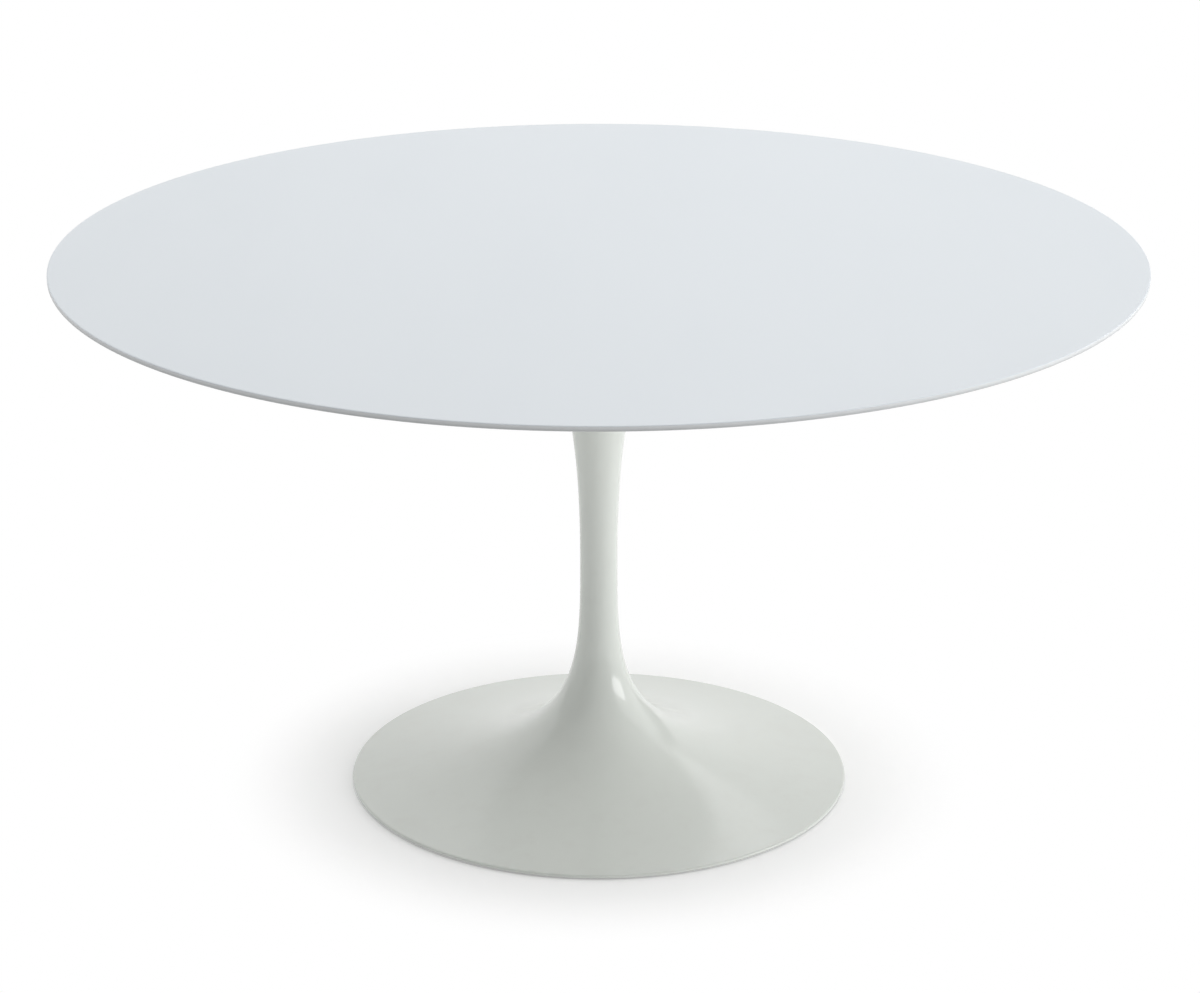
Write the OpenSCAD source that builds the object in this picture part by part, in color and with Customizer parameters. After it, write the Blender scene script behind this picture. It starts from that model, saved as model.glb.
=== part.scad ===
// Round pedestal table: a laminated top with a bevelled underside, bolted to a
// mounting plate, on a hollow trumpet-shaped casting that one tie rod clamps to it.
// Millimetres, +Z up, origin on the floor under the centre of the foot.

/* [Overall] */
// Height of the table surface above the floor
table_h = 718; // [600:1:860]
// Diameter of the top
top_d = 1380; // [1150:10:1660]
// Diameter of the foot
foot_d = 654; // [545:1:785]

/* [Top] */
// Thickness of the laminate on the face
laminate_t = 1; // [0.7:0.1:1.5]
// Thickness of the board core
core_t = 20; // [18:1:26]
// Thickness of the balancing sheet under the core
backer_t = 1; // [0.6:0.1:1.5]
// Width over which the laminate's top arris is eased
face_ease_w = 2.5; // [1:0.5:4]
// Height of the core's upright edge
land_h = 5.5; // [4:0.5:8]
// Radius of the arris under the upright edge
land_round = 1.5; // [0.5:0.5:2]
// Width of the bevel under the edge
bevel_w = 70; // [50:1:90]

/* [Pedestal outline] */
// Diameter of the stem at its waist
waist_d = 49; // [45:1:59]
// Height of the waist above the floor
waist_h = 305; // [254:1:366]
// Length of stem below the waist that holds its width before the foot flares
shank_below = 180; // [150:1:200]
// Length of stem above the waist that holds its width before the neck flares
shank_above = 170; // [140:1:200]
// Height at which the foot's slope, carried inwards, would meet the stem
foot_crown = 38; // [34:1:46]
// Height of the top of the foot's rim
rim_h = 6; // [5.5:0.5:8]
// Radius of the rim's upper arris
rim_round = 2; // [1:0.5:2.5]
// Diameter of the neck where it meets the top
neck_d = 176; // [150:1:211]
// Width that the neck gains in its last stretch
neck_flare_w = 46; // [38:1:55]
// Height of the neck's last stretch
neck_flare_h = 145; // [120:1:174]

/* [Casting] */
// Wall of the casting
wall_t = 6; // [5:0.5:7]
// Thickness of the flange that closes the neck
flange_t = 10; // [8:1:14]
// Bore of the neck flange
flange_bore_d = 110; // [92:1:120]
// Height of the underside of the web that the tie rod clamps against
seat_z = 118; // [110:1:140]
// Thickness of that web
seat_t = 12; // [10:1:16]
// Width of the flat land under the rim
foot_land_w = 30; // [28:1:36]

/* [Top fixing] */
// Diameter of the mounting plate
plate_d = 300; // [288:1:360]
// Thickness of the mounting plate
plate_t = 5; // [4:0.5:6]
// Thickness of the gasket between the neck and the mounting plate
gasket_t = 1.5; // [1:0.5:3]
// Number of screws that hold the plate to the top
plate_screw_n = 8; // [4:1:12]
// Pitch circle of those screws
plate_pcd = 250; // [220:1:265]
// Thread of those screws
plate_screw_d = 8; // [6:1:8]
// Length of those screws under the head
plate_screw_l = 16; // [14:1:19]
// Outer thread of the inserts in the core
insert_d = 12; // [11:0.5:14]
// Length of the inserts
insert_l = 13; // [11:1:15]
// Diameter of the boss that takes the tie rod
boss_d = 40; // [34:1:48]
// Height of the boss under the plate
boss_h = 28; // [23:1:34]
// Diameter of the boss's spigot in the plate
spigot_d = 26; // [22:1:30]
// Diameter of the locating pins
pin_d = 8; // [6:1:10]
// Length of the locating pins
pin_l = 13; // [12:0.5:13]
// Pitch circle of the locating pins
pin_pcd = 140; // [130:1:150]

/* [Tie rod] */
// Thread of the tie rod
rod_d = 16; // [14:1:18]
// Width across the flats of its nuts
nut_af = 24; // [24:1:29]
// Height of the clamp nut
nut_h = 13; // [11:1:16]
// Height of the lock nut under the boss
lock_nut_h = 8; // [7:1:10]
// Diameter of the clamp washer
clamp_washer_d = 56; // [47:1:67]
// Thickness of the clamp washer
clamp_washer_t = 6; // [5:0.5:8]
// Outer diameter of the spring washer
spring_washer_d = 27; // [25:0.5:32]
// Thickness of the spring washer
spring_washer_t = 3.5; // [3:0.5:4.5]
// Length of rod that stands out of the clamp nut
rod_tail = 8; // [5:1:12]

/* [Ballast] */
// Bore of the ballast ring
ballast_bore_d = 150; // [125:1:180]
// Distance from the foot's edge to the ballast ring
ballast_inset = 100; // [84:1:120]
// Clearance between the ballast ring and the casting
ballast_gap = 2; // [1:0.5:3]
// Number of bolts that hold the ballast ring
ballast_bolt_n = 4; // [3:1:6]
// Thread of those bolts
ballast_bolt_d = 8; // [6:1:8]
// Length of those bolts under the head
ballast_bolt_l = 22; // [18:1:25]
// Depth of thread in the casting's pads
pad_thread_l = 10; // [8:1:12]
// Diameter of the casting's pads
pad_d = 24; // [20:1:28]

/* [Underside] */
// Thickness of the glides, which is the gap under the foot
glide_t = 2; // [1.5:0.5:2.5]
// Diameter of the glides
glide_d = 20; // [16:1:22]
// Diameter of the glides' stems
glide_stem_d = 6; // [5:0.5:7]
// Length of the glides' stems
glide_stem_l = 3; // [2:0.5:3]
// Number of glides
glide_n = 8; // [4:1:16]
// Height of the underside cover above the floor
cover_z = 3.5; // [3:0.5:4]
// Thickness of the underside cover
cover_t = 1.5; // [1:0.5:2]
// Distance from the foot's edge to the cover
cover_inset = 50; // [46:1:60]
// Number of screws that hold the cover
cover_screw_n = 6; // [4:1:12]
// Thread of those screws
cover_screw_d = 4; // [3:0.5:4]
// Length of those screws under the head
cover_screw_l = 7; // [6:1:7]
// Distance from the cover's edge to its screws
cover_screw_inset = 15; // [12:1:20]
// Diameter of the access hole in the cover
access_d = 64; // [56:1:76]
// Thickness of the access cap's wall and face
cap_t = 1.6; // [1.2:0.1:1.8]
// Width of the access cap's lip
cap_lip_w = 4; // [3:0.5:6]
// Depth of the access cap's skirt
cap_skirt_h = 6; // [4:1:8]

/* [Hidden] */
$fn = 96;

// Clearances: between a thread and its hole, between parts that slip together,
// and between a bolt's shank and the hole it passes through.
thread_gap = 0.05;
slip_gap = 0.2;
shank_gap = 0.5;
eps = 1;

// Steps along the curved outlines.
neck_steps = 24;
foot_steps = 40;
arc_steps = 6;

top_r = top_d / 2;
foot_r = foot_d / 2;
waist_r = waist_d / 2;
neck_r = neck_d / 2;
flat_r = top_r - bevel_w;

// Levels, from the table surface down to the neck of the casting.
core_top_z = table_h - laminate_t;
core_z = core_top_z - core_t;
backer_z = core_z - backer_t;
plate_z = backer_z - plate_t;
neck_z = plate_z - gasket_t;
boss_z = plate_z - boss_h;
lock_nut_z = boss_z - lock_nut_h;

// Levels below the clamping web.
clamp_washer_z = seat_z - clamp_washer_t;
spring_washer_z = clamp_washer_z - spring_washer_t;
clamp_nut_z = spring_washer_z - nut_h;
rod_z = clamp_nut_z - rod_tail;
rod_top_z = backer_z - 1;

// Screw heads and washers, in proportion to their threads as the standards have them.
function head_d(thread) = 1.75 * thread;
function head_h(thread) = 0.55 * thread;
function socket_af(thread) = 0.625 * thread;
function hex_af(thread) = 1.625 * thread;
function hex_h(thread) = 0.66 * thread;
function washer_d(thread) = 2 * thread;
function washer_t(thread) = 0.2 * thread;

// A cubic curve through four control points, and its direction.
function curve(c, t) =
    pow(1 - t, 3) * c[0] + 3 * pow(1 - t, 2) * t * c[1] + 3 * (1 - t) * pow(t, 2) * c[2] + pow(t, 3) * c[3];
function heading(c, t) =
    3 * (pow(1 - t, 2) * (c[1] - c[0]) + 2 * (1 - t) * t * (c[2] - c[1]) + pow(t, 2) * (c[3] - c[2]));

// The point of the curve moved square into the metal.
function sunk(c, t, depth) =
    let (d = heading(c, t)) curve(c, t) + depth * [d.y, -d.x] / norm(d);
function flank(c, steps, depth, first = 0, last = 1) =
    [for (i = [first:steps]) sunk(c, i * last / steps, depth)];

// A quarter of an ellipse from its outermost point up to its top.
function quarter(cr, cz, rr, rz, from = 0, to = 90) =
    [for (i = [0:arc_steps]) let (a = from + (to - from) * i / arc_steps) [cr + rr * cos(a), cz + rz * sin(a)]];

// The pedestal's outline is one curve from the neck down to the waist, and one
// from the waist down to the rim. The foot's curve has r = waist_r + run * t^3.
neck_curve = [
    [neck_r, neck_z],
    [neck_r - neck_flare_w, neck_z - neck_flare_h],
    [waist_r, waist_h + shank_above],
    [waist_r, waist_h]
];
foot_run = foot_r - rim_round - waist_r;
foot_curve = [
    [waist_r, waist_h],
    [waist_r, waist_h - shank_below],
    [waist_r, foot_crown],
    [foot_r - rim_round, rim_h]
];
function foot_t(r) = pow((r - waist_r) / foot_run, 1 / 3);
function foot_z(r) = curve(foot_curve, foot_t(r)).y;

// The foot's underside: its land, the glides in it, and the cover inside it.
land_r = foot_r - foot_land_w;
glide_r = foot_r - foot_land_w / 2;
cover_r = foot_r - cover_inset;
cover_top_z = cover_z + cover_t;
cover_screw_r = cover_r - cover_screw_inset;
cover_pad_d = 3 * cover_screw_d;

// The ballast ring lies over the cover, and its bolts go up into pads.
ballast_z = cover_top_z + ballast_gap;
ballast_r = foot_r - ballast_inset;
ballast_bolt_r = (ballast_bore_d / 2 + ballast_r) / 2;
pad_skin = 4;
pad_hole_z = foot_z(ballast_bolt_r + ballast_bolt_d / 2) - pad_skin;
pad_z = pad_hole_z - eps - pad_thread_l;
ballast_washer_z = pad_hole_z - eps - ballast_bolt_l;

// Copies the children round the table's axis.
module around(count, radius, start = 0) {
    for (i = [0:count - 1])
        rotate([0, 0, start + i * 360 / count]) translate([radius, 0, 0]) children();
}

module disc(d, z, h) {
    translate([0, 0, z]) cylinder(d = d, h = h);
}

module ring(d, bore, z, h) {
    translate([0, 0, z]) difference() {
        cylinder(d = d, h = h);
        translate([0, 0, -eps]) cylinder(d = bore, h = h + 2 * eps);
    }
}

module hexagon(af, z, h) {
    translate([0, 0, z]) cylinder(d = af / cos(30), h = h, $fn = 6);
}

// A button-head socket screw that points up, with its head's seat at z.
module button_screw(thread, length, z) {
    radius = (pow(head_h(thread), 2) + pow(head_d(thread) / 2, 2)) / (2 * head_h(thread));
    difference() {
        union() {
            disc(thread, z - eps, length + eps);
            intersection() {
                translate([0, 0, z - head_h(thread) + radius]) sphere(r = radius);
                disc(head_d(thread), z - head_h(thread), head_h(thread));
            }
        }
        hexagon(socket_af(thread), z - head_h(thread) - eps, eps + head_h(thread) * 0.6);
    }
}

// A hexagon-head bolt that points up, with its head's seat at z.
module hex_bolt(thread, length, z) {
    disc(thread, z - eps, length + eps);
    hexagon(hex_af(thread), z - hex_h(thread), hex_h(thread));
}

module hex_nut(z, h) {
    difference() {
        intersection() {
            hexagon(nut_af, z, h);
            // The corners are turned down at both faces.
            translate([0, 0, z + h / 2]) sphere(d = norm([h, nut_af * 1.05]));
        }
        disc(rod_d + 2 * thread_gap, z - eps, h + 2 * eps);
    }
}

// The solid outer form of the pedestal, with nothing hollowed out.
module outer_form() {
    rotate_extrude() polygon(concat(
        [[0, neck_z]],
        flank(neck_curve, neck_steps, 0),
        flank(foot_curve, foot_steps, 0, 1),
        quarter(foot_r - rim_round, rim_h - rim_round, rim_round, rim_round, 75, 0),
        [[foot_r, glide_t + 0.5], [foot_r - 0.5, glide_t], [0, glide_t]]
    ));
}

// The space inside the pedestal, at a depth under its outer surface.
module inner_form(depth) {
    last = foot_t(land_r);
    inner = concat(
        flank(neck_curve, neck_steps, depth),
        flank(foot_curve, foot_steps, depth, 1, last)
    );
    foot_end = inner[len(inner) - 1];
    rotate_extrude() polygon(concat(
        [[0, inner[0].y]], inner, [[foot_end.x, glide_t - eps], [0, glide_t - eps]]
    ));
}

// What the casting keeps inside its hollow: the neck flange, the clamping web,
// the pads for the ballast ring and those for the cover.
module casting_webs() {
    ring(neck_d, flange_bore_d, neck_z - flange_t, flange_t + 2 * wall_t);
    ring(2 * waist_d + 2 * wall_t, rod_d + 2 * shank_gap, seat_z, seat_t);
    around(ballast_bolt_n, ballast_bolt_r, 45) disc(pad_d, pad_z, table_h / 10);
    around(cover_screw_n, cover_screw_r) disc(cover_pad_d, cover_top_z, table_h / 10);
}

module top_laminate() {
    color("whitesmoke") rotate_extrude() polygon(concat(
        [[0, core_top_z]],
        quarter(top_r - face_ease_w, core_top_z, face_ease_w, laminate_t),
        [[0, table_h]]
    ));
}

module top_core() {
    land_z = core_top_z - land_h;
    color("white") difference() {
        rotate_extrude() polygon(concat(
            [[0, core_z], [flat_r, core_z]],
            quarter(top_r - land_round, land_z + land_round, land_round, land_round, -78, 0),
            [[top_r, core_top_z], [0, core_top_z]]
        ));
        around(plate_screw_n, plate_pcd / 2)
            disc(insert_d + 2 * thread_gap, core_z - eps, insert_l - backer_t + eps + shank_gap);
    }
}

module backer_sheet() {
    color("white") difference() {
        disc(2 * flat_r, backer_z, backer_t);
        around(plate_screw_n, plate_pcd / 2)
            disc(insert_d + 2 * slip_gap, backer_z - eps, backer_t + 2 * eps);
    }
}

module threaded_inserts() {
    color("goldenrod") around(plate_screw_n, plate_pcd / 2)
        ring(insert_d, plate_screw_d + 2 * thread_gap, backer_z, insert_l);
}

module mounting_plate() {
    chamfer = 1.5;
    color("white") difference() {
        rotate_extrude() polygon([
            [0, plate_z], [plate_d / 2 - chamfer, plate_z], [plate_d / 2, plate_z + chamfer],
            [plate_d / 2, backer_z], [0, backer_z]
        ]);
        disc(spigot_d + 2 * thread_gap, plate_z - eps, plate_t + 2 * eps);
        around(plate_screw_n, plate_pcd / 2)
            disc(plate_screw_d + 2 * shank_gap, plate_z - eps, plate_t + 2 * eps);
        around(2, pin_pcd / 2) disc(pin_d + 2 * thread_gap, plate_z - eps, plate_t + 2 * eps);
    }
}

module plate_screws() {
    color("silver") around(plate_screw_n, plate_pcd / 2)
        button_screw(plate_screw_d, plate_screw_l, plate_z - washer_t(plate_screw_d));
}

module plate_washers() {
    washer_h = washer_t(plate_screw_d);
    color("silver") around(plate_screw_n, plate_pcd / 2)
        ring(washer_d(plate_screw_d), plate_screw_d + 2 * slip_gap, plate_z - washer_h, washer_h);
}

module rod_boss() {
    color("gray") difference() {
        union() {
            disc(boss_d, boss_z, boss_h);
            disc(spigot_d, plate_z - eps, plate_t + eps);
        }
        disc(rod_d + 2 * thread_gap, boss_z - eps, boss_h + plate_t + 2 * eps);
    }
}

module locating_pins() {
    color("silver") around(2, pin_pcd / 2) disc(pin_d, backer_z - pin_l, pin_l);
}

module neck_gasket() {
    color("dimgray") difference() {
        ring(neck_d - 3, flange_bore_d + 2, neck_z, gasket_t);
        around(2, pin_pcd / 2) disc(pin_d + 2 * slip_gap, neck_z - eps, gasket_t + 2 * eps);
    }
}

module pedestal_casting() {
    pin_hole_z = backer_z - pin_l - shank_gap;
    color("whitesmoke") difference() {
        outer_form();
        difference() {
            inner_form(wall_t);
            casting_webs();
        }
        around(2, pin_pcd / 2)
            disc(pin_d + 2 * thread_gap, pin_hole_z, neck_z - pin_hole_z + eps);
        around(ballast_bolt_n, ballast_bolt_r, 45)
            disc(ballast_bolt_d + 2 * thread_gap, pad_z - eps, pad_hole_z - pad_z + eps);
        around(cover_screw_n, cover_screw_r)
            disc(cover_screw_d + 2 * thread_gap, cover_top_z - eps, cover_screw_l - cover_t + eps + shank_gap);
        around(glide_n, glide_r)
            disc(glide_stem_d + 2 * thread_gap, glide_t - eps, glide_stem_l + eps + slip_gap);
        // The cover's edge always has its clearance, however flat the foot or thick its wall.
        ring(
            2 * (cover_r + shank_gap), 2 * (cover_screw_r + eps) + cover_pad_d,
            0, cover_top_z + slip_gap
        );
    }
}

module tie_rod() {
    chamfer = 1.5;
    color("silver") rotate_extrude() polygon([
        [0, rod_z], [rod_d / 2 - chamfer, rod_z], [rod_d / 2, rod_z + chamfer],
        [rod_d / 2, rod_top_z - chamfer], [rod_d / 2 - chamfer, rod_top_z], [0, rod_top_z]
    ]);
}

module rod_lock_nut() {
    color("silver") hex_nut(lock_nut_z, lock_nut_h);
}

module clamp_washer() {
    color("silver") ring(clamp_washer_d, rod_d + 2 * shank_gap, clamp_washer_z, clamp_washer_t);
}

module spring_washer() {
    split_w = 2;
    color("gray") difference() {
        ring(spring_washer_d, rod_d + 2 * slip_gap, spring_washer_z, spring_washer_t);
        translate([0, -split_w / 2, spring_washer_z - eps])
            cube([spring_washer_d, split_w, spring_washer_t + 2 * eps]);
    }
}

module clamp_nut() {
    color("silver") hex_nut(clamp_nut_z, nut_h);
}

module ballast_ring() {
    head_room = hex_af(ballast_bolt_d) / cos(30) + 2 * eps;
    color("dimgray") difference() {
        intersection() {
            inner_form(wall_t + ballast_gap);
            ring(2 * ballast_r, ballast_bore_d, ballast_z, waist_h - ballast_z);
        }
        around(ballast_bolt_n, ballast_bolt_r, 45) {
            disc(max(head_room, washer_d(ballast_bolt_d) + eps), 0, ballast_washer_z + washer_t(ballast_bolt_d));
            disc(ballast_bolt_d + 2 * shank_gap, 0, table_h / 2);
            disc(pad_d + 2 * ballast_gap, pad_z, table_h / 2);
        }
    }
}

module ballast_bolts() {
    color("silver") around(ballast_bolt_n, ballast_bolt_r, 45)
        hex_bolt(ballast_bolt_d, ballast_bolt_l, ballast_washer_z);
}

module ballast_washers() {
    color("silver") around(ballast_bolt_n, ballast_bolt_r, 45) ring(
        washer_d(ballast_bolt_d), ballast_bolt_d + 2 * slip_gap,
        ballast_washer_z, washer_t(ballast_bolt_d)
    );
}

module underside_cover() {
    color("dimgray") difference() {
        ring(2 * cover_r, access_d, cover_z, cover_t);
        around(cover_screw_n, cover_screw_r)
            disc(cover_screw_d + 2 * slip_gap, cover_z - eps, cover_t + 2 * eps);
    }
}

module cover_screws() {
    color("silver") around(cover_screw_n, cover_screw_r)
        button_screw(cover_screw_d, cover_screw_l, cover_z);
}

module access_cap() {
    skirt_d = access_d - 2 * slip_gap;
    color("black") {
        disc(access_d + 2 * cap_lip_w, cover_z - cap_t, cap_t);
        ring(skirt_d, skirt_d - 2 * cap_t, cover_z - eps / 2, cap_skirt_h);
    }
}

module foot_glides() {
    color("black") around(glide_n, glide_r) {
        disc(glide_d, 0, glide_t);
        disc(glide_stem_d, glide_t - eps, glide_stem_l + eps);
    }
}

top_laminate();
top_core();
backer_sheet();
threaded_inserts();
mounting_plate();
plate_screws();
plate_washers();
rod_boss();
locating_pins();
neck_gasket();
pedestal_casting();
tie_rod();
rod_lock_nut();
clamp_washer();
spring_washer();
clamp_nut();
ballast_ring();
ballast_bolts();
ballast_washers();
underside_cover();
cover_screws();
access_cap();
foot_glides();
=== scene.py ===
"""A round pedestal table: every piece of it turned, bored and finished, and a plain studio."""

import logging
import math
from bisect import bisect_left
from dataclasses import dataclass
from enum import Enum
from typing import Any, Sequence

import bmesh
import bpy
from mathutils import Euler, Matrix, Vector
from mathutils.geometry import interpolate_bezier


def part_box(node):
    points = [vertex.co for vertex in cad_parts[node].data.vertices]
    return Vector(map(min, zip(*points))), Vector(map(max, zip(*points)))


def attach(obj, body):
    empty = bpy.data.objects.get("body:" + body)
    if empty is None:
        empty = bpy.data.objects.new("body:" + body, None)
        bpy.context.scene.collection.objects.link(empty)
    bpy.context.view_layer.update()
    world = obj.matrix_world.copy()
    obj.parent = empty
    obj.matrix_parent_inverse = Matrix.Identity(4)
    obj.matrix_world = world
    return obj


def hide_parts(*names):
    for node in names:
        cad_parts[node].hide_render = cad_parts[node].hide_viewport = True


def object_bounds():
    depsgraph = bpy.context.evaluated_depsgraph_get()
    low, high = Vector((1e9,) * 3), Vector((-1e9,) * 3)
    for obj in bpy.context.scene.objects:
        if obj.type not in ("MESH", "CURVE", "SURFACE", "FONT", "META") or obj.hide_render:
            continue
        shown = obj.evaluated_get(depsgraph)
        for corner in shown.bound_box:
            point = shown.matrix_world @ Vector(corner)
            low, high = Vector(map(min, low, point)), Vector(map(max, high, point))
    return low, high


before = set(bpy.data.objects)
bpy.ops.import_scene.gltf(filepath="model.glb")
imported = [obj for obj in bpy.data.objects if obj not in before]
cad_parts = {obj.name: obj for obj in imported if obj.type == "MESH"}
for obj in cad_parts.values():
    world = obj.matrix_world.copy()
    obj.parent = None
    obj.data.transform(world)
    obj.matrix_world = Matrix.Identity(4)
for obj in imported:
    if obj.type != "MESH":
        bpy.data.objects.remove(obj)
cad_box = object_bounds()

log = logging.getLogger("pedestal_table")
logging.basicConfig(level=logging.INFO, format="%(name)s: %(message)s")

Colour = tuple[float, float, float]
Point = tuple[float, float]

BODY = "root"
BARE_MARK = "bare"
MM = 0.001
ROUND_STEPS = 240
MIDDLE_STEPS = 96
SMALL_STEPS = 48
WINDING_STEPS = 32
SMOOTH_ANGLE = math.radians(32)
MERGE_GAP = 0.001 * MM
GUARD = 0.4 * MM
LONG_RUN = 8 * MM
DEBURR = 0.3 * MM
QUARTER_BEND = 0.5523

# Shares of a thread's pitch
ROOT_DEPTH = 0.61
RIDGE_DEPTH = 0.72
RIDGE_FLANK = 0.46
RIDGE_CREST = 1 / 16
END_CHAMFER = 0.7
RUN_OUT = 0.6

# Shares of a thread's diameter
BUTTON_REACH = 0.875
BUTTON_HEIGHT = 0.55
BUTTON_SOCKET = 0.625
HEXAGON_ACROSS = 1.625
HEXAGON_HEIGHT = 0.66
HEAD_SINK = 0.2

# How far a socket's floor stays below the seat, as a share of the head's height
SOCKET_FLOOR = 0.4

# The round face of a hexagon, as a share of its width across
HEXAGON_FACE = 0.475


# ---------------------------------------------------------------- measuring


@dataclass(frozen=True)
class Extent:
    """How far a node of the frame reaches: its radius about the table's axis and its heights."""

    radius: float
    bottom: float
    top: float

    @classmethod
    def of(cls, node: str) -> "Extent":
        """Measures one node of the frame.

        Args:
            node: The node's name.

        Returns:
            Its extent, in metres.
        """
        low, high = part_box(node)
        return cls(radius=high.x, bottom=low.z, top=high.z)

    @property
    def height(self) -> float:
        """The node's own height."""
        return self.top - self.bottom


# ------------------------------------------------------------ making pieces


class Outline:
    """The section of a turned piece, walked point by point as (radius, height)."""

    def __init__(self, radius: float, height: float) -> None:
        """Starts the walk at one point."""
        self.points: list[Vector] = [Vector((radius, 0.0, height))]
        self.eased: dict[int, float] = {}

    def line(self, radius: float, height: float, ease: float = 0.0) -> "Outline":
        """Goes straight on to a point.

        Args:
            radius: The point's distance from the axis.
            height: The point's height.
            ease: How far back from the point its corner is rounded.

        Returns:
            The outline itself.
        """
        if ease:
            self.eased[len(self.points)] = ease
        self.points.append(Vector((radius, 0.0, height)))
        return self

    def curve(self, first: Point, second: Point, end: Point, steps: int) -> "Outline":
        """Goes on along a cubic curve.

        Args:
            first: The handle near the last point.
            second: The handle near the end.
            end: Where the curve ends.
            steps: How many straight steps stand for it.

        Returns:
            The outline itself.
        """
        handles = [Vector((radius, 0.0, height)) for radius, height in (first, second, end)]
        self.points += interpolate_bezier(self.points[-1], *handles, steps + 1)[1:]
        return self

    def arc(self, centre: Point, radius: float, start: float, end: float, steps: int = 6) -> "Outline":
        """Goes on round part of a circle.

        Args:
            centre: The circle's centre.
            radius: The circle's radius.
            start: The angle of the first point, in degrees from straight outwards.
            end: The angle of the last point.
            steps: How many straight steps stand for it.

        Returns:
            The outline itself.
        """
        for step in range(steps + 1):
            angle = math.radians(start + (end - start) * step / steps)
            across, up = radius * math.cos(angle), radius * math.sin(angle)
            spot = Vector((centre[0] + across, 0.0, centre[1] + up))
            if (spot - self.points[-1]).length > MERGE_GAP:
                self.points.append(spot)
        return self

    def follow(self, points: Sequence[Vector]) -> "Outline":
        """Goes on through points that are already worked out."""
        self.points += [point.copy() for point in points]
        return self


def sunk(points: Sequence[Vector], depth: float) -> list[Vector]:
    """Moves a run of outline points square into the metal, which lies on the right of the walk.

    Args:
        points: The run.
        depth: How deep it goes.

    Returns:
        The moved points.
    """
    last = len(points) - 1
    moved = []
    for place, point in enumerate(points):
        heading = (points[min(place + 1, last)] - points[max(place - 1, 0)]).normalized()
        moved.append(point + depth * Vector((heading.z, 0.0, -heading.x)))
    return moved


def radius_at(points: Sequence[Vector], height: float) -> float:
    """The radius of a run of points at a height.

    Args:
        points: The run, walked downwards.
        height: The height.

    Returns:
        The radius.
    """
    place = bisect_left([-point.z for point in points], -height)
    upper, lower = points[max(place - 1, 0)], points[min(place, len(points) - 1)]
    drop = upper.z - lower.z
    share = (upper.z - height) / drop if drop else 0.0
    return upper.x + (lower.x - upper.x) * share


class Carve(Enum):
    """What one workpiece does to another."""

    CUT = "DIFFERENCE"
    JOIN = "UNION"
    KEEP = "INTERSECT"


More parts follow.
